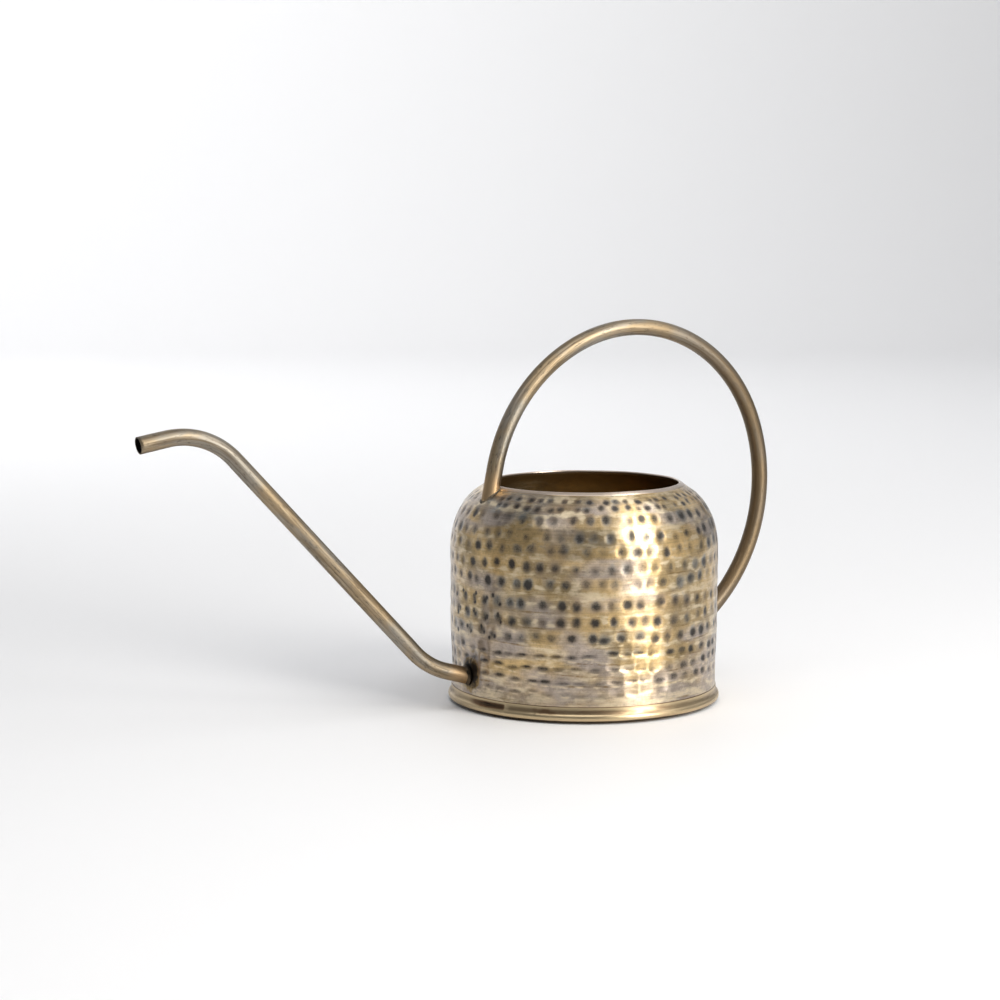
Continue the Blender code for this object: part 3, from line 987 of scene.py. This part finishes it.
def foot_moulding(material):
    """The foot band, with patina and painted shade in its hollow, painted shade along its top edge and under
    its bead, and painted shade before its lap.
    """
    profile = foot_profile()
    band = turned("foot_moulding", profile, BAND_STEPS, lap)
    up = np.repeat([point[1] for point in profile], BAND_STEPS)
    angle = np.tile(full_turn(BAND_STEPS), len(profile))
    turn = signed_turn(angle - LAP_ANGLE)
    # Painted shade before the lap, where the band mirrors the can's shadow on the floor
    shade_before_lap = smooth_step(turn, *LAP_SHADE_START) * (1 - smooth_step(turn, *LAP_SHADE_END))
    flare = smooth_step(up, *HOLLOW_START) * (1 - smooth_step(up, *HOLLOW_END))
    uneven = 0.45 + 0.08 * ripple(np.random.default_rng(11), angle, up, 8, (1, 10), 60)
    seam = np.exp(-((turn / 0.02) ** 2))
    # Patina with painted shade in the hollow, more painted shade before the lap, and a painted shade line
    # along the top edge
    hollow = flare * (uneven + 0.65 * shade_before_lap - 0.5 * seam) + 0.8 * smooth_step(up, *EDGE_LINE)
    # Painted shadow: the underside of the bead goes black where it stands over the floor
    hollow = np.clip(hollow + 1.3 * smooth_step(-up, -UNDERSIDE[1], -UNDERSIDE[0]), 0, 1.3)
    paint(band, "hollow", hollow)
    return place(band, ["foot_band"], material)


def base_disc(material):
    """The flanged disc that closes the bottom. Rings near its centre keep its shading even."""
    radius = PLATE_HIGH.x - NECK
    corner = 1.5 * MM
    middle = (0.01 * MM, 0.1 * MM, 1 * MM, radius * 0.5)
    centre = (radius - corner, corner)
    outer = [(x, 0.0) for x in (*middle, radius - corner - 4 * MM)]
    outer += [(x, z) for x, z, _ in arc_points(centre, corner, -math.pi / 2, 0, 0.2 * MM)]
    outer.append((radius, PLATE_HIGH.z))
    inner = [(radius - SHEET, PLATE_HIGH.z)]
    inner += [(x, z) for x, z, _ in arc_points(centre, corner - SHEET, 0, -math.pi / 2, 0.2 * MM)]
    inner += [(x, SHEET) for x in reversed(middle)]
    disc = turned("base_disc", outer + inner, DISC_STEPS)
    paint(disc, "hollow", np.zeros(len(disc.data.vertices)))
    return place(disc, ["base_plate"], material)


def solder_run(angle, across, up):
    """The uneven surface that solder freezes with."""
    return -0.12 * MM * (1 + np.sin(9 * angle) * np.sin(23 * angle + up * 900)) / 2


def seam_solder(material):
    """The fillet of solder round the seam inside."""
    low, high = SOLDER_LOW.z, SOLDER_HIGH.z
    radius = SOLDER_HIGH.x - NECK
    points = [(radius, high), (radius, low), (radius - SHEET, low)]
    for i in range(1, 6):
        t = i / 6
        points.append((radius - SHEET * (1 - t) ** 1.6, low + (high - low) * t**1.6))
    seam = turned("seam_solder", points, DISC_STEPS, solder_run)
    return place(seam, ["base_solder_seam"], material)


# Stage

# The floor, in metres: its front and back, half its width, and the bend and top of the wall behind it
FLOOR_FRONT, FLOOR_BACK, FLOOR_SIDE = -6.0, 2.6, 11.0
SWEEP_RADIUS, SWEEP_TOP = 1.2, 1.7
FLOOR_GREY = 0.86

# Soft lights that face the can: degrees to the right of the camera, elevation, distance, size, watts,
# colour and spread
SOFT_LIGHTS = {
    "key": (49, 22, 1.5, (0.50, 1.1), 18.5, (1.0, 0.97, 0.91), 170),
    "side_top": (75, 58, 1.6, (1.1, 1.1), 8, (1, 1, 1), 180),
    "front_top": (-20, 62, 1.6, (1.2, 0.8), 5.5, (1, 1, 1), 180),
}

# The light on the backdrop: ahead of the can, to the left and up, for its place and for what it faces
BACKDROP_PLACE, BACKDROP_AIM = (0.9, 1.4, 2.2), (3.4, 0.7, 0.5)
BACKDROP_SIZE, BACKDROP_POWER, BACKDROP_SPREAD = (2.0, 0.6), 48, 140

# The room's brightness on the camera's side, on the far side, and as the camera sees it
ROOM_NEAR, ROOM_FAR, ROOM_SEEN = 0.25, 0.85, 0.86
ROOM_COLOUR = (0.97, 0.98, 1.0, 1)


def from_camera(ahead, left, up):
    """A place measured from the middle of the can as the camera sees it."""
    forward = Vector((math.cos(CAMERA_HEADING), math.sin(CAMERA_HEADING), 0))
    right = Vector((forward.y, -forward.x, 0))
    return forward * ahead - right * left + Vector((0, 0, up))


def floor_sweep():
    """A pale floor that sweeps up far behind the can."""
    profile = [(FLOOR_FRONT, 0.0), (FLOOR_BACK, 0.0)]
    bend = arc_points((FLOOR_BACK, SWEEP_RADIUS), SWEEP_RADIUS, -math.pi / 2, 0, 0.12)
    profile += [(x, z) for x, z, _ in bend][1:]
    profile.append((FLOOR_BACK + SWEEP_RADIUS, SWEEP_TOP))
    verts, faces = [], []
    for i, (depth, up) in enumerate(profile):
        verts += [tuple(from_camera(depth, left, up)) for left in (FLOOR_SIDE, -FLOOR_SIDE)]
        if i:
            faces.append((2 * i - 2, 2 * i - 1, 2 * i + 1, 2 * i))
    mesh = bpy.data.meshes.new("floor")
    mesh.from_pydata(verts, [], faces)
    mesh.shade_smooth()
    floor = new_object("floor", mesh)
    material, _, shader = new_metal("floor_paint")
    shader.inputs["Metallic"].default_value = 0.0
    shader.inputs["Base Color"].default_value = (FLOOR_GREY, FLOOR_GREY, FLOOR_GREY * 1.01, 1)
    shader.inputs["Roughness"].default_value = 0.55
    mesh.materials.append(material)


def aim(obj, place_at, toward):
    """Puts a light or a camera at a place, turned along a direction."""
    obj.location = place_at
    obj.rotation_mode = "QUATERNION"
    obj.rotation_quaternion = toward.to_track_quat("-Z", "Y")


def area_light(name, place_at, toward, size, power, colour, spread):
    """A rectangle of light that shines along a direction. spread is in degrees."""
    light = bpy.data.lights.new(name, "AREA")
    light.shape = "RECTANGLE"
    light.size, light.size_y = size
    light.energy = power
    light.color = colour
    light.spread = math.radians(spread)
    lamp = new_object(name, light)
    aim(lamp, place_at, toward)
    lamp.visible_camera = False


def lights():
    """The soft lights round the can, and one that lights the sweep behind it, more on the left."""
    for name, (off_camera, elevation, distance, size, power, colour, spread) in SOFT_LIGHTS.items():
        turn = FACING + math.radians(off_camera)
        tilt = math.radians(elevation)
        back = Vector((math.cos(turn) * math.cos(tilt), math.sin(turn) * math.cos(tilt), math.sin(tilt)))
        area_light(name, Vector((0, 0, 0.07)) + back * distance, -back, size, power, colour, spread)
    place_at = from_camera(*BACKDROP_PLACE)
    toward = from_camera(*BACKDROP_AIM) - place_at
    area_light("backdrop", place_at, toward, BACKDROP_SIZE, BACKDROP_POWER, (1, 1, 1), BACKDROP_SPREAD)


def room():
    """A pale room, darker on the camera's side, as the can sees it."""
    world = bpy.data.worlds.new("room")
    bpy.context.scene.world = world
    world.use_nodes = True
    tree = world.node_tree
    tree.nodes.clear()
    direction = add(tree, "TexCoord").outputs["Generated"]
    toward = (math.cos(FACING), math.sin(FACING), 0.0)
    side = add(tree, "VectorMath", {0: direction, 1: toward}, operation="DOT_PRODUCT").outputs["Value"]
    level = fade(tree, side, -0.85, 0.30, ROOM_FAR, ROOM_NEAR)
    seen = add(tree, "LightPath").outputs["Is Camera Ray"]
    change = times(tree, seen, maths(tree, "SUBTRACT", ROOM_SEEN, level))
    level = maths(tree, "ADD", level, change)
    background = add(tree, "Background", {"Color": ROOM_COLOUR, "Strength": level})
    output = add(tree, "OutputWorld")
    link(tree, background.outputs[0], output.inputs["Surface"])


def camera():
    """The photo's camera."""
    data = bpy.data.cameras.new("camera")
    data.sensor_width = 36
    data.lens = CAMERA_LENS
    cam = new_object("camera", data)
    level = math.cos(CAMERA_DIP)
    ahead = (math.cos(CAMERA_HEADING) * level, math.sin(CAMERA_HEADING) * level, -math.sin(CAMERA_DIP))
    aim(cam, CAMERA_PLACE, Vector(ahead))
    bpy.context.scene.camera = cam


def main():
    camera()
    bpy.context.scene.view_settings.view_transform = "Standard"

    spout_path = eased(bent_path(SPOUT_ROOT, SPOUT_HEADING, SPOUT_MOVES, SPOUT_STEP), BEND_EASE)
    handle_path = eased(bent_path(HANDLE_ROOT, HANDLE_HEADING, HANDLE_MOVES, HANDLE_STEP), BEND_EASE)
    handle_end = len(handle_path) - 1
    # The spout leaves through the upright wall, where the length along the sheet is the height
    wall_cross = next(i for i, row in enumerate(spout_path) if abs(row[0]) > WALL_RADIUS + 1 * MM)
    spout_joint = (math.pi, spout_path[wall_cross][1])

    body = hammered_body([spout_joint, meeting(handle_path, 0), meeting(handle_path, -1)])
    hole_path = bent_path(SPOUT_ROOT, SPOUT_HEADING, (("run", 10 * MM),), 10 * MM)
    hole_path[0, 0] += 3 * MM
    cut_hole(body, hole_path, TUBE_RADIUS + 0.1 * MM)
    place(body, ["body_shell"], hammered_brass())

    tube_metal = tube_brass()
    tube("spout", "spout_tube", spout_path, 16 * MM, (150 * MM, 0.15), tube_metal)
    tube("handle", "handle_tube", handle_path, 22 * MM, (215 * MM, 1), tube_metal, trim=meet_body)

    # Brazes: path, place on it, spread and rise, lumps, lean, seed, metal
    sooty = braze_metal("sooty_braze", SOOTY_BRAZE)
    filed = braze_metal("filed_braze", FILED_BRAZE)
    brazes = {
        "spout_braze": (spout_path, wall_cross, (1.0 * MM, 0.7 * MM), 0.14, (4.1, 0.75), 3, sooty),
        "handle_front_braze": (handle_path, 0, (1.1 * MM, 0.9 * MM), 0.15, (0, 0), 4, filed),
        "handle_rear_braze": (handle_path, handle_end, (1.3 * MM, 1.0 * MM), 0.2, (0, 0), 5, filed),
    }
    for node, (*shape, metal) in brazes.items():
        place(fillet(node + "_ring", *shape), [node], metal)

    foot_moulding(smooth_brass("foot_brass", FOOT_BRASS))
    base_disc(smooth_brass("base_brass", BASE_BRASS))
    seam_solder(braze_metal("soft_solder", SOFT_SOLDER))

    floor_sweep()
    room()
    lights()


main()
